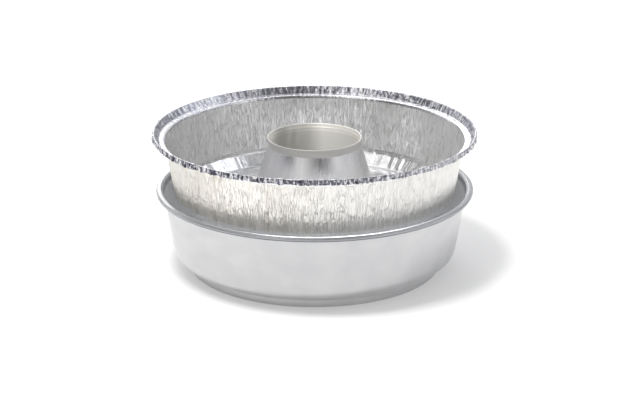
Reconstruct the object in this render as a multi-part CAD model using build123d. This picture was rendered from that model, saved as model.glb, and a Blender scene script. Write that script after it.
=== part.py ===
from build123d import *
import os
from math import atan, tan

# Ring cake pan set: a smooth drawn aluminium pan, with a crinkled foil ring pan raised inside it.
# The foil ring pan has a smooth conical centre tube crimped into its floor.
# Millimetres, +Z up. The origin is the centre of the outer pan's base, on the surface it stands on.
# Every piece is round sheet metal, so each is the centreline of its sheet, given a thickness and revolved.

# Outer pan
PAN_RIM_RADIUS = 130.0        # over the rolled rim
PAN_HEIGHT = 67.4             # base to the crown of the rolled rim
PAN_SHEET = 0.8
PAN_TAPER = atan(0.157)       # wall's lean from vertical
PAN_WALL_RADIUS = 115.1       # sheet centreline, at PAN_WALL_LEVEL
PAN_WALL_LEVEL = 12.8
PAN_CORNER = 12.0             # outside radius where the wall turns into the bottom
FOOT_RADIUS = 103.5           # outside of the raised foot ring
FOOT_HEIGHT = 8.0
FOOT_FILLET = 1.6
RIM_WIDTH = 6.9               # rolled rim, inside to outside
RIM_DEPTH = 3.9               # rolled rim, top to bottom
RIM_FLARE = 3.0               # the wall bends out over this height, just under the rim
RIM_FLARE_RADIUS = 4.0
RIM_ROOT_RADIUS = 1.2
RIM_LIP = 1.6                 # room between the curl's edge and the wall

# Foil ring pan
FOIL_SHEET = 0.3
FOIL_TAPER = atan(0.166)
FOIL_WALL_RADIUS = 114.4      # sheet centreline, at FOIL_WALL_LEVEL
FOIL_WALL_LEVEL = 63.2
FOIL_LIFT = 41.0              # how far the foil pan stands above its seat on the outer pan's rim
LEDGE_SEAT_GAP = 0.35         # room left between the ledge and the rim when seated
LEDGE_WIDTH = 4.4
EDGE_FILLET = 0.8             # at both bends of the ledge
UPSTAND_RUN = 5.0             # the edge beyond the ledge flares out by this much
UPSTAND_RISE = 7.1            # and up by this much
HEM_RUN = 0.6                 # its hem is rolled out
HEM_DROP = 3.4                # and down
HEM_FILLET = 0.7
BEVEL_TOP = 62.5              # the wall turns in here
FLOOR_LEVEL = 52.4            # underside of the flat floor
BEVEL_RUN = 8.4
BEVEL_FILLETS = (3.0, 8.0)    # at its foot and at its top
EMBOSS_RADII = (94.0, 78.0)   # concentric steps pressed in the floor
EMBOSS_RISE = 1.1
EMBOSS_FILLET = 1.0

# Centre tube
TUBE_SHEET = 0.4
NECK_RADIUS = 38.5            # outside of the neck's folded hem
NECK_TOP = 108.4
NECK_HEIGHT = 6.4
HEM_GAP = 0.3                 # room inside the neck's fold
CONE_SLOPE = 0.30             # growth in radius for each unit down
NECK_FILLET = 3.0             # where the cone turns up into the neck
FLANGE_RADIUS = 60.0          # foot flange, flared out under the foil floor
BEAD_RISE = 2.4               # bead pressed out of the cone above the floor, which grips it on the flange
BEAD_RUN = 2.0
BEAD_FILLETS = (0.6, 1.0)     # at its widest and at its top
FOLD_RADIUS = 0.3             # at the tube's tightest folds
SEAM_PLAY = 0.03              # room between the tube and the foil, all round the seam


def sheet(name, color, thickness, corners, fillets):
    """One piece of sheet metal: its centreline (radius, height), thickened both ways and revolved."""
    centreline = Wire(FilletPolyline(*corners, radius=fillets).edges())
    outline = centreline.offset_2d(thickness / 2, kind=Kind.ARC, side=Side.BOTH)
    section = make_face(outline.edges())
    right_of_axis = Pos(PAN_RIM_RADIUS, PAN_RIM_RADIUS) * Rectangle(2 * PAN_RIM_RADIUS, 4 * PAN_RIM_RADIUS)
    section = section & right_of_axis
    piece = revolve(Plane.XZ * section, Axis.Z)
    piece.label = name
    piece.color = Color(*color)
    return piece


def pan_wall_radius(height):
    """Radius of the outer pan's wall centreline."""
    return PAN_WALL_RADIUS + (height - PAN_WALL_LEVEL) * tan(PAN_TAPER)


def foil_wall_radius(height):
    """Radius of the foil wall's centreline."""
    return FOIL_WALL_RADIUS + (height - FOIL_WALL_LEVEL) * tan(FOIL_TAPER)


def cone_radius(height):
    """Radius of the centre tube's sheet centreline, on its cone."""
    neck_centre = NECK_RADIUS - TUBE_SHEET * 1.5 - HEM_GAP
    return neck_centre + (NECK_TOP - NECK_HEIGHT - height) * CONE_SLOPE


def outer_pan():
    """Drawn pan: flat floor in a foot ring, rounded corner, leaning wall and a rolled rim."""
    half = PAN_SHEET / 2
    step = FOOT_HEIGHT + half
    crown = PAN_HEIGHT - half
    tip = PAN_HEIGHT - RIM_DEPTH + half
    rim_inner = PAN_RIM_RADIUS - RIM_WIDTH + half
    rim_outer = PAN_RIM_RADIUS - half
    flare = PAN_HEIGHT - RIM_DEPTH - RIM_FLARE
    corners = [
        (-2 * PAN_SHEET, half),
        (FOOT_RADIUS - half, half),
        (FOOT_RADIUS - half, step),
        (pan_wall_radius(step), step),
        (pan_wall_radius(flare), flare),
        (rim_inner, tip),
        (rim_inner, crown),
        (rim_outer, crown),
        (rim_outer, tip),
        (rim_inner + RIM_LIP, tip),
    ]
    curl = (crown - tip) / 2
    foot = [FOOT_FILLET, FOOT_FILLET, PAN_CORNER - half]
    fillets = [*foot, RIM_FLARE_RADIUS, RIM_ROOT_RADIUS, curl, curl, 0.9 * curl]
    return sheet("outer_pan", (0.72, 0.73, 0.75), PAN_SHEET, corners, fillets)


def foil_pan():
    """Foil ring pan: stepped floor with a round hole, bevel, leaning wall, ledge and rolled edge."""
    half = FOIL_SHEET / 2
    floor = FLOOR_LEVEL + half
    ledge = PAN_HEIGHT + FOIL_LIFT + LEDGE_SEAT_GAP + half
    hole = cone_radius(floor) + TUBE_SHEET / 2 + half + SEAM_PLAY
    outer_step, inner_step = EMBOSS_RADII
    upstand = foil_wall_radius(ledge) + LEDGE_WIDTH
    edge = upstand + UPSTAND_RUN
    corners = [
        (hole, floor),
        (inner_step - EMBOSS_RISE, floor),
        (inner_step, floor + EMBOSS_RISE),
        (outer_step, floor + EMBOSS_RISE),
        (outer_step + EMBOSS_RISE, floor),
        (foil_wall_radius(BEVEL_TOP) - BEVEL_RUN, floor),
        (foil_wall_radius(BEVEL_TOP), BEVEL_TOP),
        (foil_wall_radius(ledge), ledge),
        (upstand, ledge),
        (edge, ledge + UPSTAND_RISE),
        (edge + HEM_RUN, ledge + UPSTAND_RISE - HEM_DROP),
    ]
    fillets = [EMBOSS_FILLET] * 4 + [*BEVEL_FILLETS, EDGE_FILLET, EDGE_FILLET, HEM_FILLET]
    return sheet("foil_pan", (0.83, 0.83, 0.82), FOIL_SHEET, corners, fillets)


def center_tube():
    """Conical tube: flange under the foil floor, bead above it, cone, and a neck with a folded edge."""
    half = TUBE_SHEET / 2
    flange = FLOOR_LEVEL - half - SEAM_PLAY
    bead_bottom = FLOOR_LEVEL + FOIL_SHEET + half + SEAM_PLAY
    bead_top = bead_bottom + BEAD_RISE
    throat = cone_radius(FLOOR_LEVEL + FOIL_SHEET / 2)
    neck_bottom = NECK_TOP - NECK_HEIGHT
    neck = cone_radius(neck_bottom)
    hem = NECK_RADIUS - half
    top = NECK_TOP - half
    corners = [
        (FLANGE_RADIUS, flange),
        (throat, flange),
        (throat, bead_bottom),
        (throat + BEAD_RUN, bead_bottom + BEAD_RISE / 3),
        (cone_radius(bead_top), bead_top),
        (neck, neck_bottom),
        (neck, top),
        (hem, top),
        (hem, neck_bottom + half),
    ]
    fillets = [FOLD_RADIUS, FOLD_RADIUS, *BEAD_FILLETS, NECK_FILLET, FOLD_RADIUS, FOLD_RADIUS]
    return sheet("center_tube", (0.76, 0.76, 0.77), TUBE_SHEET, corners, fillets)


os.makedirs("parts", exist_ok=True)
for piece in (outer_pan(), foil_pan(), center_tube()):
    export_step(piece, f"parts/{piece.label}.step")
    print(piece.label, round(piece.volume), "mm3")
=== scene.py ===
from math import cos, pi, radians, sin, tan

import bmesh
import bpy
import numpy as np
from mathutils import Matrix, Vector


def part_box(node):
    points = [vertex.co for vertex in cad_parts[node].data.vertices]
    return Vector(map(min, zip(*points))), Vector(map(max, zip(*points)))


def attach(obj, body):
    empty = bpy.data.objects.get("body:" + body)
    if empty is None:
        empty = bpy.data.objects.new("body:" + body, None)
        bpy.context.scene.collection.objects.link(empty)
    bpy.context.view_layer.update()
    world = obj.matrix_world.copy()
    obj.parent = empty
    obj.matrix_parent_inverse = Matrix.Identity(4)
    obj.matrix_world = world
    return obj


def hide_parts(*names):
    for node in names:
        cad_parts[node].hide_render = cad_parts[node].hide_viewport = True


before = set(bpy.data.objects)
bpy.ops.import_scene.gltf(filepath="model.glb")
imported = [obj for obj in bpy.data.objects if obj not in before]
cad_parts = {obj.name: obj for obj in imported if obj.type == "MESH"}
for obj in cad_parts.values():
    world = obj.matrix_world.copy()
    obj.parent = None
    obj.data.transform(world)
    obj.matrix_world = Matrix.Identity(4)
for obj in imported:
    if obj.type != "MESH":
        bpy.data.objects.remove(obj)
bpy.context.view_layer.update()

# Metres, in the CAD frame: origin at the centre of the outer pan's base, +Z up.
MM = 0.001
SAME_PLACE = 0.0001 * MM        # points closer than this are one point
ROUND = 2 * pi
PAN_LOW, PAN_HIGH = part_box("outer_pan")
FOIL_LOW, FOIL_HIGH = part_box("foil_pan")
TUBE_LOW, TUBE_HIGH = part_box("center_tube")

# Outer pan
PAN_RIM = PAN_HIGH.x
PAN_TOP = PAN_HIGH.z
PAN_SHEET = 0.8 * MM
PAN_SLOPE = 0.157
PAN_WALL = 115.1 * MM
PAN_WALL_LEVEL = 12.8 * MM
PAN_CORNER = 11.6 * MM
FOOT_RADIUS = 103.1 * MM
FOOT_STEP = 8.4 * MM
RIM_WIDTH = 6.9 * MM
RIM_DEPTH = 3.9 * MM
RIM_FLARE = 3.4 * MM            # the wall bends out over this height, just under the rim
RIM_LIP = 1.6 * MM              # room between the curl's edge and the wall

# Foil ring pan. It is thinner than its solid in the CAD model. Its creases lean inwards by FOIL_ROOM, to stay
# clear of the outer pan when it is seated in it.
FOIL_SHEET = 0.15 * MM
CAD_FOIL_SHEET = 0.3 * MM
FOIL_ROOM = 0.2 * MM
FOIL_SLOPE = 0.166
FOIL_WALL = 114.4 * MM
FOIL_WALL_LEVEL = 63.2 * MM
FLOOR_LEVEL = FOIL_LOW.z + CAD_FOIL_SHEET / 2
LEDGE_HEIGHT = 56.35 * MM       # above the floor
LEDGE_LEVEL = FLOOR_LEVEL + LEDGE_HEIGHT
LEDGE_WIDTH = 4.4 * MM
LEDGE_SLOPE = 0.6 * MM          # it dips towards the wall by this much
CREST_LEVEL = FOIL_HIGH.z - 0.6 * MM      # the crest leaves room for the crumples above and outside it
CREST_RADIUS = FOIL_HIGH.x - 1.3 * MM
HEM_DEPTH = 4.2 * MM
BEVEL_TOP = 62.5 * MM
BEVEL_RUN = 8.4 * MM
EMBOSS_RADII = (94.0 * MM, 78.0 * MM)
EMBOSS_RISE = 1.1 * MM
PIECE_MARGIN = 3.0 * MM         # the wall piece ends this far from the bevel and from the ledge
WALL_START = BEVEL_TOP + PIECE_MARGIN
WALL_END = LEDGE_LEVEL - PIECE_MARGIN

# How far the foil's wrinkles stand out of its sheet
FINE_CREASE = 0.20 * MM
COARSE_CREASE = 0.16 * MM
SWELL = 0.04 * MM
LEDGE_CRUMPLE = 0.10 * MM
UPSTAND_CRUMPLE = 0.22 * MM
HEM_CRUMPLE = 0.38 * MM
HEM_BUCKLE = 0.34 * MM
HEM_JAGS = (0.45 * MM, 0.35 * MM)
FLOOR_CRUMPLE = 0.008 * MM
BEVEL_CRUMPLE = 0.10 * MM
BEVEL_FLUTE = 0.6 * MM

# Sides of the object, as azimuths in degrees: 0 is its right and -90 its front
HANDLED_AND_SHADED_SIDE = 210            # the foil wall was handled most here, and its colour is greyer here with painted shade
EDGE_SHADE_SIDE = 50             # the foil's edge has the most painted shade here, and less on the opposite side
PRESSED_SIDE = 235            # the neck's fold is pressed in here
SHADED_INSIDE_SIDE = 122            # the centre tube's inside has a blotch of painted shade here

# Centre tube
TUBE_SHEET = 0.4 * MM
NECK_TOP = TUBE_HIGH.z
NECK_HEIGHT = 6.4 * MM
NECK_RADIUS = 38.5 * MM
HEM_GAP = 0.3 * MM
CONE_SLOPE = 0.30
FLANGE_RADIUS = TUBE_HIGH.x


# Shapes

def fillet_path(corners, radii, step):
    """Points a step apart along straight runs through the corners (radius, height), rounded by radii."""
    corners = [np.array(corner, float) for corner in corners]
    points = []
    here = corners[0]
    for before, at, after, radius in zip(corners, corners[1:], corners[2:], radii):
        back = (before - at) / np.linalg.norm(before - at)
        ahead = (after - at) / np.linalg.norm(after - at)
        half = np.arccos(np.clip(back @ ahead, -1, 1)) / 2
        reach = radius / tan(half)
        bisector = (back + ahead) / np.linalg.norm(back + ahead)
        centre = at + bisector * radius / sin(half)
        points += straight(here, at + back * reach, step)
        points += arc(at + back * reach, at + ahead * reach, centre, radius, step)
        here = at + ahead * reach
    points += straight(here, corners[-1], step)
    points.append(corners[-1])
    return np.array(points)


def straight(start, end, step):
    """Points from start up to, but not at, end."""
    count = max(1, round(np.linalg.norm(end - start) / step))
    return [start + (end - start) * i / count for i in range(count)]


def arc(start, end, centre, radius, step):
    """Points on the short way round from start up to, but not at, end."""
    first = np.arctan2(*(start - centre)[::-1])
    last = np.arctan2(*(end - centre)[::-1])
    turn = (last - first + pi) % ROUND - pi
    count = max(3, round(abs(turn) * radius / step))
    angles = first + turn * np.arange(count) / count
    return [centre + radius * np.array([cos(a), sin(a)]) for a in angles]


def path_lengths(path):
    """Distance along the path to each of its points."""
    steps = np.linalg.norm(np.diff(path, axis=0), axis=1)
    return np.concatenate([[0.0], np.cumsum(steps)])


def revolve_sheet(name, path, thickness, turns, offset=None):
    """A closed sheet-metal mesh: the path, thickened both ways and revolved.

    turns, the number of steps round, keeps every piece under the export's limit of 200,000 triangles.
    offset(theta, along) gives how far each point moves across the sheet, to the left of the path, and how far
    it slides along the path.
    """
    theta = np.arange(turns) * ROUND / turns
    ahead = np.gradient(path, axis=0)
    ahead /= np.linalg.norm(ahead, axis=1)[:, None]
    across = np.stack([-ahead[:, 1], ahead[:, 0]], axis=1)
    push = np.zeros((len(path), turns))
    slide = np.zeros((len(path), turns))
    if offset is not None:
        everywhere = np.zeros((len(path), turns))
        push, slide = offset(theta[None, :] + everywhere, path_lengths(path)[:, None] + everywhere)
    sides = []
    for side in (0.5, -0.5):
        out = push + side * thickness
        radius = path[:, :1] + across[:, :1] * out + ahead[:, :1] * slide
        height = path[:, 1:] + across[:, 1:] * out + ahead[:, 1:] * slide
        sides.append(np.stack([radius * np.cos(theta), radius * np.sin(theta), height], axis=2))
    return mesh_from_rings(name, np.concatenate([sides[0], sides[1][::-1]]))


def mesh_from_rings(name, rings):
    """A mesh over rings that closes on itself both ways. The first half of them is the sheet's left side.

    Faces on the left side get material 0 and the others material 1. The sheet's two cut edges stay sharp.
    """
    count, turns = rings.shape[:2]
    ring = np.arange(count)[:, None]
    turn = np.arange(turns)[None, :]
    next_ring = (ring + 1) % count
    next_turn = (turn + 1) % turns
    corners = (
        ring * turns + turn,
        ring * turns + next_turn,
        next_ring * turns + next_turn,
        next_ring * turns + turn,
    )
    faces = np.stack([np.broadcast_to(corner, (count, turns)) for corner in corners], axis=2).reshape(-1, 4)
    sides = np.repeat((np.arange(count) >= count // 2 - 1).astype(np.int32), turns)
    mesh = bpy.data.meshes.new(name)
    mesh.vertices.add(count * turns)
    mesh.vertices.foreach_set("co", rings.reshape(-1).astype(np.float32))
    mesh.loops.add(len(faces) * 4)
    mesh.loops.foreach_set("vertex_index", faces.reshape(-1).astype(np.int32))
    mesh.polygons.add(len(faces))
    mesh.polygons.foreach_set("loop_start", np.arange(len(faces), dtype=np.int32) * 4)
    mesh.polygons.foreach_set("material_index", sides)
    mesh.update(calc_edges=True)
    cut_rings = (0, count // 2 - 1, count // 2, count - 1)
    shape = bmesh.new()
    shape.from_mesh(mesh)
    for edge in shape.edges:
        first, second = (vertex.index // turns for vertex in edge.verts)
        edge.smooth = not (first == second and first in cut_rings)
    bmesh.ops.remove_doubles(shape, verts=shape.verts, dist=SAME_PLACE)
    bmesh.ops.recalc_face_normals(shape, faces=shape.faces)
    for face in shape.faces:
        face.smooth = True
    shape.to_mesh(mesh)
    shape.free()
    piece = bpy.data.objects.new(name, mesh)
    bpy.context.scene.collection.objects.link(piece)
    return piece


# Wrinkles

def ease(t):
    """Smooth step from 0 to 1."""
    t = np.clip(t, 0, 1)
    return t * t * t * (t * (t * 6 - 15) + 10)


def drift(theta, height, around, up, seed):
    """Smooth noise from -1 to 1 that closes round the circle. height runs from 0 to 1."""
    grid = np.random.default_rng(seed).uniform(-1, 1, (up + 2, around))
    x = (theta / ROUND % 1) * around
    y = np.clip(height, 0, 1) * up
    column = np.floor(x).astype(int) % around
    row = np.floor(y).astype(int)
    fx = ease(x - np.floor(x))
    fy = ease(y - row)
    right = (column + 1) % around
    low = grid[row, column] * (1 - fx) + grid[row, right] * fx
    high = grid[row + 1, column] * (1 - fx) + grid[row + 1, right] * fx
    return low * (1 - fy) + high * fy


def folds(theta, count, seed):
    """Sharp uneven pleats round the circle, from -1 to 1: flat facets between random fold lines."""
    rng = np.random.default_rng(seed)
    lines = np.cumsum(rng.uniform(0.3, 1.7, count))
    lines = (lines - lines[0]) / (lines[-1] + 1 - lines[0])
    heights = rng.uniform(0.2, 1, count)
    heights[::2] *= -1
    return np.interp(theta / ROUND % 1, lines, heights, period=1)


def creases(theta, height, around, up, sway, seed, width=0.22):
    """Thin foil creases that run up the sheet, waver, fork and die out: ridges to 1 and valleys to -1.

    Each follows the line where a smooth noise field passes zero.
    """
    wander = sway * drift(theta, height, around // 2, up * 2, seed)
    bent = theta + wander * ROUND / around
    total = 0
    for sign, layer in ((1, seed + 1), (-1, seed + 3)):
        line = np.exp(-(drift(bent, height, around, up, layer) / width) ** 2)
        presence = ease(0.7 + 1.3 * drift(theta, height, around // 3, up * 2, layer + 1))
        total = total + sign * line * presence
    return total


def facing(theta, azimuth):
    """1 on the side that faces azimuth (degrees), 0 on the other side."""
    return 0.5 + 0.5 * np.cos(theta - radians(azimuth))


def wall_push(theta, height):
    """How far the foil wall's wrinkles reach inwards. They are coarsest on the side handled most."""
    side_weight = 0.8 + 0.6 * facing(theta, HANDLED_AND_SHADED_SIDE) ** 2
    fine = FINE_CREASE * creases(theta, height, around=270, up=6, sway=0.9, seed=11)
    coarse = COARSE_CREASE * creases(theta, height, around=150, up=4, sway=0.9, seed=21)
    swell = SWELL * drift(theta, height, around=90, up=3, seed=31)
    return FOIL_ROOM + side_weight * (fine + coarse + swell)


def pan_wall_radius(height):
    return PAN_WALL + (height - PAN_WALL_LEVEL) * PAN_SLOPE


def foil_wall_radius(height):
    return FOIL_WALL + (height - FOIL_WALL_LEVEL) * FOIL_SLOPE


def cone_radius(height):
    neck_centre = NECK_RADIUS - 1.5 * TUBE_SHEET - HEM_GAP
    return neck_centre + (NECK_TOP - NECK_HEIGHT - height) * CONE_SLOPE


def outer_pan():
    """Drawn pan with a domed rolled rim."""
    half = PAN_SHEET / 2
    rim_inner = PAN_RIM - RIM_WIDTH + half
    rim_outer = PAN_RIM - half
    crown = PAN_TOP - half
    tip = PAN_TOP - RIM_DEPTH + half
    flare = tip - RIM_FLARE
    corners = [
        (0, half),
        (FOOT_RADIUS, half),
        (FOOT_RADIUS, FOOT_STEP),
        (pan_wall_radius(FOOT_STEP), FOOT_STEP),
        (pan_wall_radius(flare), flare),
        (rim_inner + 0.1 * MM, tip + 0.3 * MM),
        (rim_inner + 1.1 * MM, crown - 0.25 * MM),
        ((rim_inner + rim_outer) / 2, crown + 0.15 * MM),
        (rim_outer - 0.5 * MM, crown - 0.5 * MM),
        (rim_outer - 0.2 * MM, tip + 0.2 * MM),
        (rim_inner + RIM_LIP, tip),
    ]
    foot_radii = [1.6 * MM, 1.6 * MM, PAN_CORNER]
    rim_radii = [4.0 * MM, 1.6 * MM, 1.4 * MM, 7.0 * MM, 1.2 * MM, 1.0 * MM]
    path = fillet_path(corners, foot_radii + rim_radii, step=2.4 * MM)

    def offset(theta, along):
        chatter = 0.03 * MM * drift(theta, along / along.max(), around=36, up=90, seed=401)
        off_base = ease((along - FOOT_RADIUS) / (2 * MM))
        return off_base * chatter, 0 * along

    return revolve_sheet("outer_pan_shell", path, PAN_SHEET, turns=400, offset=offset)


def foil_wall():
    """The crinkled wall of the foil pan."""
    height = np.linspace(WALL_START, WALL_END, 30)
    path = np.stack([foil_wall_radius(height), height], axis=1)

    def offset(theta, along):
        return wall_push(theta, along / along.max()), 0 * along

    return revolve_sheet("foil_wall", path, FOIL_SHEET, turns=1440, offset=offset)


def foil_edge():
    """Ledge, flared upstand, and the crumpled hem rolled down outside it."""
    wall = foil_wall_radius(LEDGE_LEVEL)
    upstand = wall + LEDGE_WIDTH
    corners = [
        (foil_wall_radius(WALL_END), WALL_END),
        (foil_wall_radius(LEDGE_LEVEL - LEDGE_SLOPE), LEDGE_LEVEL - LEDGE_SLOPE),
        (upstand, LEDGE_LEVEL),
        (CREST_RADIUS - 0.4 * MM, CREST_LEVEL),
        (CREST_RADIUS + 0.5 * MM, CREST_LEVEL - 0.4 * MM),
        (CREST_RADIUS + 0.5 * MM, CREST_LEVEL - HEM_DEPTH),
        (CREST_RADIUS - 1.0 * MM, CREST_LEVEL - HEM_DEPTH - 0.2 * MM),
    ]
    path = fillet_path(corners, [1.2 * MM, 0.5 * MM, 0.5 * MM, 0.5 * MM, 0.4 * MM], step=0.75 * MM)
    whole = path_lengths(path)[-1]
    ledge_end = LEDGE_LEVEL - LEDGE_SLOPE - WALL_END + LEDGE_WIDTH
    hem_start = whole - HEM_DEPTH - 1.5 * MM

    def offset(theta, along):
        reach = along / whole
        on_ledge = ease((along - 1.2 * MM) / (1.5 * MM))
        on_upstand = ease((along - ledge_end) / (2 * MM))
        on_hem = ease((along - hem_start) / (1.5 * MM))
        waver = 0.3 * drift(theta, reach, around=120, up=3, seed=43)
        pleats = folds(theta + waver * ROUND / 250, count=250, seed=41)
        crumple = creases(theta, reach, around=330, up=5, sway=0.6, seed=51)
        buckle = drift(theta, reach, around=170, up=6, seed=61)
        short_jags = HEM_JAGS[0] * drift(theta, 0 * along, around=260, up=1, seed=71)
        long_jags = HEM_JAGS[1] * drift(theta, 0 * along, around=90, up=1, seed=72)
        push = wall_push(theta, 1 + 0 * along) * (1 - on_ledge)
        push = push + on_ledge * (LEDGE_CRUMPLE + UPSTAND_CRUMPLE * on_upstand) * (pleats + crumple)
        push = push + on_hem * (HEM_CRUMPLE * crumple + HEM_BUCKLE * buckle)
        return push, on_hem * (short_jags + long_jags)

    return revolve_sheet("foil_edge", path, FOIL_SHEET, turns=1200, offset=offset)


def foil_floor():
    """Bevel and floor, with its pressed rings, and the foot of the wall."""
    hole = cone_radius(FLOOR_LEVEL) + TUBE_SHEET / 2 + FOIL_SHEET
    outer, inner = EMBOSS_RADII
    foot = foil_wall_radius(BEVEL_TOP) - BEVEL_RUN
    corners = [
        (hole, FLOOR_LEVEL),
        (inner - EMBOSS_RISE, FLOOR_LEVEL),
        (inner, FLOOR_LEVEL + EMBOSS_RISE),
        (outer, FLOOR_LEVEL + EMBOSS_RISE),
        (outer + EMBOSS_RISE, FLOOR_LEVEL),
        (foot, FLOOR_LEVEL),
        (foil_wall_radius(BEVEL_TOP), BEVEL_TOP),
        (foil_wall_radius(WALL_START), WALL_START),
    ]
    path = fillet_path(corners, [1 * MM, 1 * MM, 1 * MM, 1 * MM, 2 * MM, 3 * MM], step=1.7 * MM)
    whole = path_lengths(path)[-1]
    bevel_start = foot - hole

    def offset(theta, along):
        on_bevel = ease((along - bevel_start) / (4 * MM)) * ease((whole - along) / (5 * MM))
        on_wall = ease((along - whole + 4 * MM) / (4 * MM))
        flutes = folds(theta, count=150, seed=81)
        strength = 0.25 + 0.75 * ease(0.5 + 1.5 * drift(theta, 0 * along, around=14, up=1, seed=83))
        crumple = creases(theta, along / whole, around=200, up=12, sway=0.8, seed=91)
        push = (FLOOR_CRUMPLE + BEVEL_CRUMPLE * on_bevel) * crumple * (1 - on_wall)
        push = push + BEVEL_FLUTE * on_bevel * flutes * strength
        push = push + on_wall * wall_push(theta, 0 * along)
        return push, 0 * along

    return revolve_sheet("foil_floor", path, FOIL_SHEET, turns=840, offset=offset)


def center_tube():
    """Smooth cone with a folded neck and a bead over the foil floor."""
    half = TUBE_SHEET / 2
    neck_bottom = NECK_TOP - NECK_HEIGHT
    neck = cone_radius(neck_bottom)
    hem = NECK_RADIUS - half
    top = NECK_TOP - half
    flange = TUBE_LOW.z + half
    bead_bottom = FLOOR_LEVEL + CAD_FOIL_SHEET / 2 + half
    bead_top = bead_bottom + 2.4 * MM
    throat = cone_radius(FLOOR_LEVEL)
    corners = [
        (FLANGE_RADIUS, flange),
        (throat, flange),
        (throat, bead_bottom),
        (throat + 2 * MM, bead_bottom + 0.8 * MM),
        (cone_radius(bead_top), bead_top),
        (neck, neck_bottom),
        (neck, top - 4.2 * MM),
        (neck - 0.35 * MM, top - 3.4 * MM),
        (neck, top - 2.6 * MM),
        (neck, top),
        (hem, top),
        (hem, neck_bottom + half),
    ]
    crease = 0.6 * MM
    fold = 0.25 * MM
    radii = [0.3 * MM, 0.3 * MM, 0.6 * MM, 1 * MM, 3 * MM, crease, crease, crease, fold, fold]
    path = fillet_path(corners, radii, step=1.2 * MM)
    whole = path_lengths(path)[-1]

    def offset(theta, along):
        hem_end = ease((along - whole + 4 * MM) / (4 * MM))
        uneven = 0.06 * MM * drift(theta, along / whole, around=20, up=8, seed=501)
        pressed = 0.35 * MM * facing(theta, PRESSED_SIDE) ** 3
        wavy = 0.25 * MM * drift(theta, 0 * along, around=24, up=1, seed=503)
        return uneven - hem_end * pressed, hem_end * wavy

    return revolve_sheet("tube_shell", path, TUBE_SHEET, turns=540, offset=offset)


# Materials

# Painted shade: the rim tone darkens the pan's rim, and the under-rim tone paints a dark line under its curl.
RIM_SHADE_TONE = (0.44, 0.45, 0.47)
RIM_ROUGHNESS = 0.26
UNDER_RIM_SHADE_TONE = (0.13, 0.13, 0.15)
# Painted shade in the foil's creases.
CREASE_SHADE_TONE = (0.26, 0.25, 0.24)
PATCH_TONE = (0.66, 0.66, 0.71)
COLLAR_TONE = (0.72, 0.71, 0.68)


def node(tree, kind, inputs=None, **settings):
    """A new shader node. Each input is a value, or another node's output to link."""
    made = tree.nodes.new(kind)
    for name, value in settings.items():
        setattr(made, name, value)
    for name, value in (inputs or {}).items():
        if isinstance(value, bpy.types.NodeSocket):
            tree.links.new(value, made.inputs[name])
        else:
            made.inputs[name].default_value = value
    return made


def calculate(tree, operation, first, second):
    """One of Blender's Math node operations on two values."""
    return node(tree, "ShaderNodeMath", {0: first, 1: second}, operation=operation).outputs[0]


def scaled(tree, vector, factor):
    sockets = {0: vector, "Scale": factor}
    return node(tree, "ShaderNodeVectorMath", sockets, operation="SCALE").outputs["Vector"]


def remap(tree, value, low, high, start=0.3, end=0.7):
    """Map the range from start to end onto low to high, and hold a value beyond it at the nearer end."""
    sockets = {"Value": value, "From Min": start, "From Max": end, "To Min": low, "To Max": high}
    return node(tree, "ShaderNodeMapRange", sockets).outputs["Result"]


def noise(tree, place, detail=3.0, roughness=0.5):
    sockets = {"Vector": place, "Scale": 1.0, "Detail": detail, "Roughness": roughness}
    return node(tree, "ShaderNodeTexNoise", sockets).outputs[0]


def round_parts(tree):
    """A point's distance from the axis, its height, and the level direction from the axis to it."""
    place = node(tree, "ShaderNodeTexCoord").outputs["Object"]
    split = node(tree, "ShaderNodeSeparateXYZ", {0: place})
    flat = node(tree, "ShaderNodeCombineXYZ", {"X": split.outputs["X"], "Y": split.outputs["Y"]}).outputs[0]
    radius = node(tree, "ShaderNodeVectorMath", {0: flat}, operation="LENGTH").outputs["Value"]
    outward = node(tree, "ShaderNodeVectorMath", {0: flat}, operation="NORMALIZE").outputs["Vector"]
    return radius, split.outputs["Z"], outward


def grain(tree, around, along):
    """Noise coordinates: a circle of radius `around`, climbing by `along` per metre outwards or up."""
    radius, height, outward = round_parts(tree)
    turned = scaled(tree, outward, around)
    out_and_up = calculate(tree, "MULTIPLY", calculate(tree, "ADD", radius, height), along)
    lifted = node(tree, "ShaderNodeCombineXYZ", {"Z": out_and_up}).outputs[0]
    return node(tree, "ShaderNodeVectorMath", {0: turned, 1: lifted}, operation="ADD").outputs["Vector"]


def facing_node(tree, azimuth):
    """1 on the side that faces azimuth (degrees), -1 on the other side."""
    outward = round_parts(tree)[2]
    sockets = {0: outward, 1: direction(azimuth, 0)}
    return node(tree, "ShaderNodeVectorMath", sockets, operation="DOT_PRODUCT").outputs["Value"]


def bump(tree, height, distance, strength, base=None):
    sockets = {"Height": height, "Distance": distance, "Strength": strength}
    if base is not None:
        sockets["Normal"] = base
    return node(tree, "ShaderNodeBump", sockets).outputs["Normal"]


def blend_colors(tree, amount, first, second):
    """Mix two colours. The first may be another node's output."""
    made = node(tree, "ShaderNodeMix", {"Factor": amount}, data_type="RGBA")
    if isinstance(first, bpy.types.NodeSocket):
        tree.links.new(first, made.inputs[6])
    else:
        made.inputs[6].default_value = (*first, 1)
    made.inputs[7].default_value = (*second, 1)
    return made.outputs[2]


def crease_lines(tree, around, along, width):
    """Thin lines, 1 on the line and 0 off it, that follow where a stretched noise passes its middle value."""
    field = noise(tree, grain(tree, around, along), detail=1.5, roughness=0.45)
    apart = calculate(tree, "ABSOLUTE", calculate(tree, "SUBTRACT", field, 0.5), 0.0)
    return remap(tree, apart, 1, 0, 0, width)


def metal(name, metallic):
    """A metal material: returns it with its node tree and main shader."""
    material = bpy.data.materials.new(name)
    material.use_nodes = True
    shader = material.node_tree.nodes["Principled BSDF"]
    shader.inputs["Metallic"].default_value = metallic
    return material, material.node_tree, shader


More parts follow.
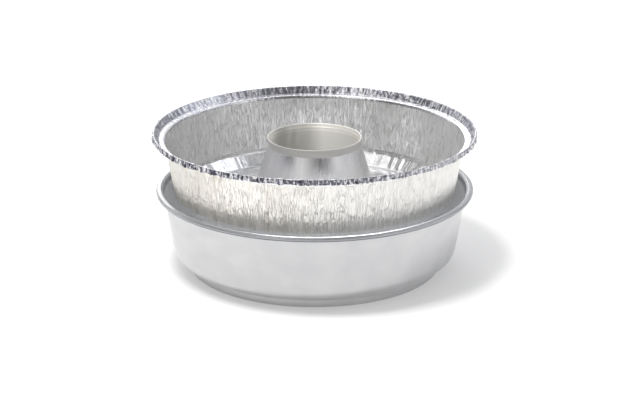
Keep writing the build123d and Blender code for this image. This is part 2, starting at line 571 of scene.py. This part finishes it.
def connect(tree, shader, color, roughness, normal):
    tree.links.new(color, shader.inputs["Base Color"])
    tree.links.new(roughness, shader.inputs["Roughness"])
    tree.links.new(normal, shader.inputs["Normal"])


def satin_aluminium(name, light, dark, metallic, roughness):
    """Drawn sheet with fine spun lines, smears and pits. Its rim is darkened with painted shade, and a line
    of painted shade runs low outside, under the curl.
    """
    material, tree, shader = metal(name, metallic)
    lines = noise(tree, grain(tree, around=3.0, along=900), detail=4, roughness=0.65)
    smears = noise(tree, grain(tree, around=6.0, along=60), detail=3)
    pits = noise(tree, grain(tree, around=110, along=900), detail=2)
    radius, height, outward = round_parts(tree)
    rim_foot = PAN_TOP - RIM_DEPTH
    rim = remap(tree, height, 0, 1, rim_foot - 1.5 * MM, rim_foot)
    low_on_rim = remap(tree, height, 1, 0, rim_foot + 0.8 * MM, rim_foot + 1.8 * MM)
    outside = remap(tree, radius, 0, 1, PAN_RIM - 2.0 * MM, PAN_RIM - 1.0 * MM)
    # Painted shade: the rim is darkened, and a dark line is painted low on the outside of its curl.
    under_rim_shade = calculate(tree, "MULTIPLY", low_on_rim, outside)
    color = blend_colors(tree, remap(tree, smears, 0, 1), light, dark)
    color = blend_colors(tree, rim, color, RIM_SHADE_TONE)
    color = blend_colors(tree, under_rim_shade, color, UNDER_RIM_SHADE_TONE)
    base = remap(tree, rim, roughness, RIM_ROUGHNESS, 0, 1)
    gloss = calculate(tree, "ADD", remap(tree, lines, -0.05, 0.05), base)
    normal = bump(tree, lines, 0.02 * MM, 0.6)
    normal = bump(tree, pits, 0.02 * MM, 0.35, normal)
    connect(tree, shader, color, gloss, normal)
    return material


def crinkled_foil(name, light, shade_grey, dull, shiny, depth, shade):
    """Foil with hair-fine creases that run up the wall and out over the floor, duller in patches. Grey
    patches of random tone are made stronger on one side as painted shade.

    shade is how much painted shade darkens the creases against the foil between them.
    """
    material, tree, shader = metal(name, 1.0)
    fine = noise(tree, grain(tree, around=150, along=260), detail=3, roughness=0.6)
    patches = noise(tree, grain(tree, around=18, along=28), detail=3)
    worn = noise(tree, grain(tree, around=16, along=110), detail=2)
    long_lines = crease_lines(tree, around=50, along=45, width=0.045)
    short_lines = crease_lines(tree, around=85, along=90, width=0.045)
    lines = calculate(tree, "MAXIMUM", long_lines, calculate(tree, "MULTIPLY", short_lines, 0.6))
    lines = calculate(tree, "MULTIPLY", lines, remap(tree, worn, 0.5, 1, 0.35, 0.6))
    # Painted shade: the grey patches, of random tone, are made stronger towards HANDLED_AND_SHADED_SIDE.
    side_weight = remap(tree, facing_node(tree, HANDLED_AND_SHADED_SIDE), 0.15, 1, 0.2, 0.95)
    color = blend_colors(tree, calculate(tree, "MULTIPLY", patches, side_weight), light, shade_grey)
    # Painted shade: the crease lines are darkened towards CREASE_SHADE_TONE.
    color = blend_colors(tree, calculate(tree, "MULTIPLY", lines, shade), color, CREASE_SHADE_TONE)
    gloss = calculate(tree, "ADD", remap(tree, patches, dull, shiny), remap(tree, fine, -0.03, 0.03))
    normal = bump(tree, lines, 0.5 * MM, depth)
    normal = bump(tree, fine, 0.10 * MM, 0.5 * depth, normal)
    connect(tree, shader, color, gloss, normal)
    return material


def crumpled_edge(name, bright, shade_grey, shade_black, low, high):
    """Pressed foil, streaked grey with painted shade between the heights low and high. On its outside the
    painted shade is black.
    """
    material, tree, shader = metal(name, 1.0)
    fine = noise(tree, grain(tree, around=150, along=260), detail=3, roughness=0.6)
    shade_streaks = noise(tree, grain(tree, around=70, along=130), detail=5, roughness=0.7)
    patches = noise(tree, grain(tree, around=18, along=28), detail=3)
    radius, height, outward = round_parts(tree)
    ragged = calculate(tree, "ADD", height, remap(tree, shade_streaks, -0.6 * MM, 0.6 * MM))
    above = remap(tree, ragged, 0, 1, low, low + 0.4 * MM)
    below = remap(tree, ragged, 1, 0, high - 0.8 * MM, high)
    band = calculate(tree, "MULTIPLY", above, below)
    # Painted shade: grey streaks in the band, and black ones on its outside, stand for shade and dark
    # reflections in the crumpled edge.
    dark = calculate(tree, "MULTIPLY", band, remap(tree, shade_streaks, 0.0, 1.0, 0.42, 0.53))
    near = facing_node(tree, EDGE_SHADE_SIDE)
    shade_by_side = calculate(tree, "MAXIMUM", near, calculate(tree, "MULTIPLY", near, -0.7))
    dark = calculate(tree, "MULTIPLY", dark, remap(tree, shade_by_side, 0.35, 0.95, 0.0, 0.8))
    color = blend_colors(tree, remap(tree, patches, 0, 1), bright, PATCH_TONE)
    outside = remap(tree, radius, 0, 1, CREST_RADIUS - 0.6 * MM, CREST_RADIUS)
    color = blend_colors(tree, dark, color, shade_grey)
    color = blend_colors(tree, calculate(tree, "MULTIPLY", dark, outside), color, shade_black)
    gloss = calculate(tree, "ADD", remap(tree, band, 0.22, 0.30, 0, 1), remap(tree, fine, -0.03, 0.03))
    normal = bump(tree, fine, 0.10 * MM, 0.4)
    connect(tree, shader, color, gloss, normal)
    return material


def shaded_tube_inside(name, light, dark, metallic, roughness):
    """Smooth dull sheet with a soft blotch of painted shade on one side. The neck's folded edge is greyer."""
    material, tree, shader = metal(name, metallic)
    blotches = noise(tree, grain(tree, around=2.0, along=22), detail=2)
    fine = noise(tree, grain(tree, around=60, along=200), detail=2)
    blotch_shaded = remap(tree, facing_node(tree, SHADED_INSIDE_SIDE), 0.0, 0.9, 0.75, 1.0)
    radius, height, outward = round_parts(tree)
    neck_foot = NECK_TOP - NECK_HEIGHT
    far_out = remap(tree, radius, 0, 1, NECK_RADIUS - 0.9 * MM, NECK_RADIUS - 0.6 * MM)
    high_up = remap(tree, height, 0, 1, neck_foot - 0.8 * MM, neck_foot - 0.4 * MM)
    collar = calculate(tree, "MULTIPLY", far_out, high_up)
    # Painted shade: a soft dark blotch on one side of the tube's inside.
    blotch_shade = calculate(tree, "MULTIPLY", blotch_shaded, remap(tree, blotches, 0.4, 1))
    color = blend_colors(tree, blotch_shade, light, dark)
    color = blend_colors(tree, collar, color, COLLAR_TONE)
    gloss = remap(tree, fine, roughness - 0.03, roughness + 0.03)
    normal = bump(tree, fine, 0.02 * MM, 0.3)
    connect(tree, shader, color, gloss, normal)
    return material


def brushed_aluminium(name, light, dark, metallic, roughness):
    """Smooth sheet, brushed up and down."""
    material, tree, shader = metal(name, metallic)
    strokes = noise(tree, grain(tree, around=90, along=25), detail=4, roughness=0.65)
    smears = noise(tree, grain(tree, around=4, along=45), detail=2)
    color = blend_colors(tree, remap(tree, strokes, 0, 1), light, dark)
    base = remap(tree, smears, roughness - 0.05, roughness + 0.05)
    gloss = calculate(tree, "ADD", remap(tree, strokes, -0.05, 0.05), base)
    normal = bump(tree, strokes, 0.03 * MM, 0.5)
    connect(tree, shader, color, gloss, normal)
    shader.inputs["Anisotropic"].default_value = 0.5
    tangent = node(tree, "ShaderNodeTangent", direction_type="RADIAL", axis="Z").outputs[0]
    tree.links.new(tangent, shader.inputs["Tangent"])
    return material


# Stage, lights and camera

# Soft lights round the object: azimuth, elevation and spread in degrees, then strength and colour.
STUDIO = (
    (125, 5, 75, 0.90, (1.0, 1.0, 1.0)),
    (-20, 22, 50, 0.75, (1.0, 1.0, 1.0)),
    (-118, 36, 40, 0.95, (1.0, 0.98, 0.95)),
    (90, 24, 42, 0.95, (0.97, 0.98, 1.0)),
    (200, 66, 30, 1.10, (1.0, 1.0, 1.0)),
    (95, 64, 38, 1.10, (1.0, 1.0, 1.0)),
    (25, 36, 38, 0.70, (0.87, 0.90, 1.0)),
)
ROOM_STRENGTH = 0.05
PANELS = 8                      # the room is lighter and darker by turns this many times round
PANEL_CONTRAST = 0.5
FLOOR_SIZE = 8                  # from its middle to its edge
FLOOR_TONE = 0.60
FLOOR_GLOW = 0.30
FILL_DISTANCE = 1.5
CAMERA_PLACE = (4.35 * MM, -1.6, 0.601)
CAMERA_TILT = 18.88             # degrees below level
CAMERA_LENS = 115.8             # mm, on a 36 mm sensor


def direction(azimuth, elevation):
    """The unit vector towards an azimuth and elevation in degrees."""
    flat = cos(radians(elevation))
    return (flat * cos(radians(azimuth)), flat * sin(radians(azimuth)), sin(radians(elevation)))


def studio():
    """The surroundings: a dim room with large soft lights and upright pale and dark panels in it."""
    world = bpy.data.worlds.new("studio")
    world.use_nodes = True
    bpy.context.scene.world = world
    tree = world.node_tree
    look = node(tree, "ShaderNodeTexCoord").outputs["Generated"]
    look = node(tree, "ShaderNodeVectorMath", {0: look}, operation="NORMALIZE").outputs["Vector"]
    total = None
    for azimuth, elevation, spread, strength, color in STUDIO:
        towards = {0: look, 1: direction(azimuth, elevation)}
        nearness = node(tree, "ShaderNodeVectorMath", towards, operation="DOT_PRODUCT").outputs["Value"]
        sockets = {"Value": nearness, "From Min": cos(radians(spread)), "To Max": strength}
        amount = node(tree, "ShaderNodeMapRange", sockets, interpolation_type="SMOOTHSTEP").outputs["Result"]
        glow = scaled(tree, color, amount)
        base = (ROOM_STRENGTH,) * 3 if total is None else total
        total = node(tree, "ShaderNodeVectorMath", {0: glow, 1: base}, operation="ADD").outputs["Vector"]
    split = node(tree, "ShaderNodeSeparateXYZ", {0: look})
    around = calculate(tree, "ARCTAN2", split.outputs["Y"], split.outputs["X"])
    wave = calculate(tree, "SINE", calculate(tree, "MULTIPLY", around, PANELS), 0.0)
    panels = remap(tree, wave, 1 - PANEL_CONTRAST, 1 + PANEL_CONTRAST, -0.7, 0.7)
    tree.links.new(scaled(tree, total, panels), tree.nodes["Background"].inputs["Color"])


def floor():
    """A pale floor that glows a little, so that it stays white away from the shadow."""
    mesh = bpy.data.meshes.new("floor")
    signs = ((-1, -1), (1, -1), (1, 1), (-1, 1))
    corners = [(FLOOR_SIZE * x, FLOOR_SIZE * y, 0) for x, y in signs]
    mesh.from_pydata(corners, [], [(0, 1, 2, 3)])
    piece = bpy.data.objects.new("floor", mesh)
    bpy.context.scene.collection.objects.link(piece)
    material = bpy.data.materials.new("floor_white")
    material.use_nodes = True
    shader = material.node_tree.nodes["Principled BSDF"]
    shader.inputs["Base Color"].default_value = (FLOOR_TONE, FLOOR_TONE, FLOOR_TONE, 1)
    shader.inputs["Roughness"].default_value = 0.9
    shader.inputs["Specular IOR Level"].default_value = 0.1
    shader.inputs["Emission Color"].default_value = (1, 1, 1, 1)
    shader.inputs["Emission Strength"].default_value = FLOOR_GLOW
    piece.data.materials.append(material)
    return piece


def area_light(name, place, aim, size, power):
    data = bpy.data.lights.new(name, "AREA")
    data.shape = "DISK"
    data.size = size
    data.energy = power
    light = bpy.data.objects.new(name, data)
    light.location = place
    light.rotation_euler = (Vector(aim) - Vector(place)).to_track_quat("-Z", "Y").to_euler()
    bpy.context.scene.collection.objects.link(light)
    return light


def light_only(light, receiver, blocker=None):
    """Let a light fall on one object only. If a blocker is given, it alone casts a shadow in this light."""
    receivers = bpy.data.collections.new(light.name + "_receivers")
    receivers.objects.link(receiver)
    light.light_linking.receiver_collection = receivers
    if blocker is not None:
        blockers = bpy.data.collections.new(light.name + "_blockers")
        blockers.objects.link(blocker)
        light.light_linking.blocker_collection = blockers


def lights(pan, wall, tube, table):
    """A soft key light for the floor and its shadow, and weak fills that each fall on one piece."""
    foot = (0, 0, 0.03)
    key = area_light("key", (-0.30, -0.30, 1.44), foot, 0.34, 18)
    light_only(key, table)
    pan_fill = area_light("pan_fill", (0.05, 0.85, 0.85), foot, 0.4, 5)
    light_only(pan_fill, pan, blocker=table)
    tube_fill = area_light("tube_fill", (0, -0.022, 0.165), (0.005, 0.034, 0.095), 0.03, 0.007)
    tube_fill.data.spread = radians(70)
    light_only(tube_fill, tube)
    for number, azimuth in enumerate((-90, 190)):
        place = FILL_DISTANCE * Vector(direction(azimuth, 2))
        wall_fill = area_light(f"wall_fill_{number}", place, (0, 0, 0.09), 0.5, 0.8)
        light_only(wall_fill, wall, blocker=table)
    for number, (azimuth, power) in enumerate(((-90, 0.5), (205, 2.0))):
        place = FILL_DISTANCE * Vector(direction(azimuth, -35))
        low_fill = area_light(f"low_fill_{number}", place, (0, 0, 0.08), 0.8, power)
        light_only(low_fill, wall, blocker=wall)


def camera():
    data = bpy.data.cameras.new("camera")
    data.sensor_width = 36
    data.lens = CAMERA_LENS
    data.clip_start = 0.01
    eye = bpy.data.objects.new("camera", data)
    eye.location = CAMERA_PLACE
    eye.rotation_euler = (radians(90 - CAMERA_TILT), 0, 0)
    bpy.context.scene.collection.objects.link(eye)
    bpy.context.scene.camera = eye


def finish_piece(piece, body, cad_node, slot, *materials):
    """Dress a piece, tie it to its body and hide its CAD node."""
    for material in materials:
        piece.data.materials.append(material)
    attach(piece, body)
    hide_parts(cad_node)


def build():
    """Build and dress every piece. Returns the three that have fill lights of their own."""
    # The pan's two sides are copies of one satin sheet. The inside's lighter, more diffuse tone is painted
    # light, and the outside's darker tone is painted shade.
    satin_inside = satin_aluminium("satin_inside", (0.88, 0.89, 0.90), (0.82, 0.83, 0.84), 0.35, 0.50)
    satin_outside = satin_aluminium("satin_outside", (0.60, 0.60, 0.605), (0.55, 0.55, 0.56), 0.95, 0.33)
    # Painted shade: foil_wall_outside is a darker, browner copy of foil_wall_inside. Both are sides of one
    # foil.
    inner_foil = crinkled_foil(
        "foil_wall_inside", (0.97, 0.97, 0.97), (0.84, 0.82, 0.79),
        dull=0.36, shiny=0.28, depth=0.8, shade=0.45,
    )
    outer_foil = crinkled_foil(
        "foil_wall_outside", (0.86, 0.85, 0.83), (0.54, 0.50, 0.43),
        dull=0.42, shiny=0.34, depth=0.8, shade=0.30,
    )
    edge_foil = crumpled_edge(
        "foil_edge_shaded", (0.82, 0.82, 0.83), (0.22, 0.22, 0.27), (0.03, 0.03, 0.05),
        low=LEDGE_LEVEL + 0.1 * MM, high=CREST_LEVEL + 0.4 * MM,
    )
    pressed_foil = crinkled_foil(
        "foil_pressed_bright", (0.82, 0.82, 0.83), (0.70, 0.70, 0.71),
        dull=0.20, shiny=0.14, depth=0.10, shade=0.10,
    )
    brushed = brushed_aluminium("brushed_outside", (0.84, 0.84, 0.85), (0.74, 0.74, 0.75), 1.0, 0.30)
    # The tube's inside is a lighter, more diffuse copy of its outside, which is painted light, and it has a
    # blotch of painted shade.
    blotch_shaded = shaded_tube_inside("shaded_tube_inside", (0.93, 0.91, 0.86), (0.18, 0.18, 0.16), 0.3, 0.40)
    pan = outer_pan()
    wall = foil_wall()
    tube = center_tube()
    finish_piece(pan, "outer_pan_body", "outer_pan", "drawn_aluminium", satin_inside, satin_outside)
    finish_piece(wall, "insert_body", "foil_pan", "aluminium_foil", inner_foil, outer_foil)
    finish_piece(foil_edge(), "insert_body", "foil_pan", "aluminium_foil", edge_foil, pressed_foil)
    finish_piece(foil_floor(), "insert_body", "foil_pan", "aluminium_foil", pressed_foil, pressed_foil)
    finish_piece(tube, "insert_body", "center_tube", "brushed_aluminium", blotch_shaded, brushed)
    return pan, wall, tube


bpy.context.scene.view_settings.view_transform = "Standard"
pan, wall, tube = build()
table = floor()
studio()
lights(pan, wall, tube, table)
camera()
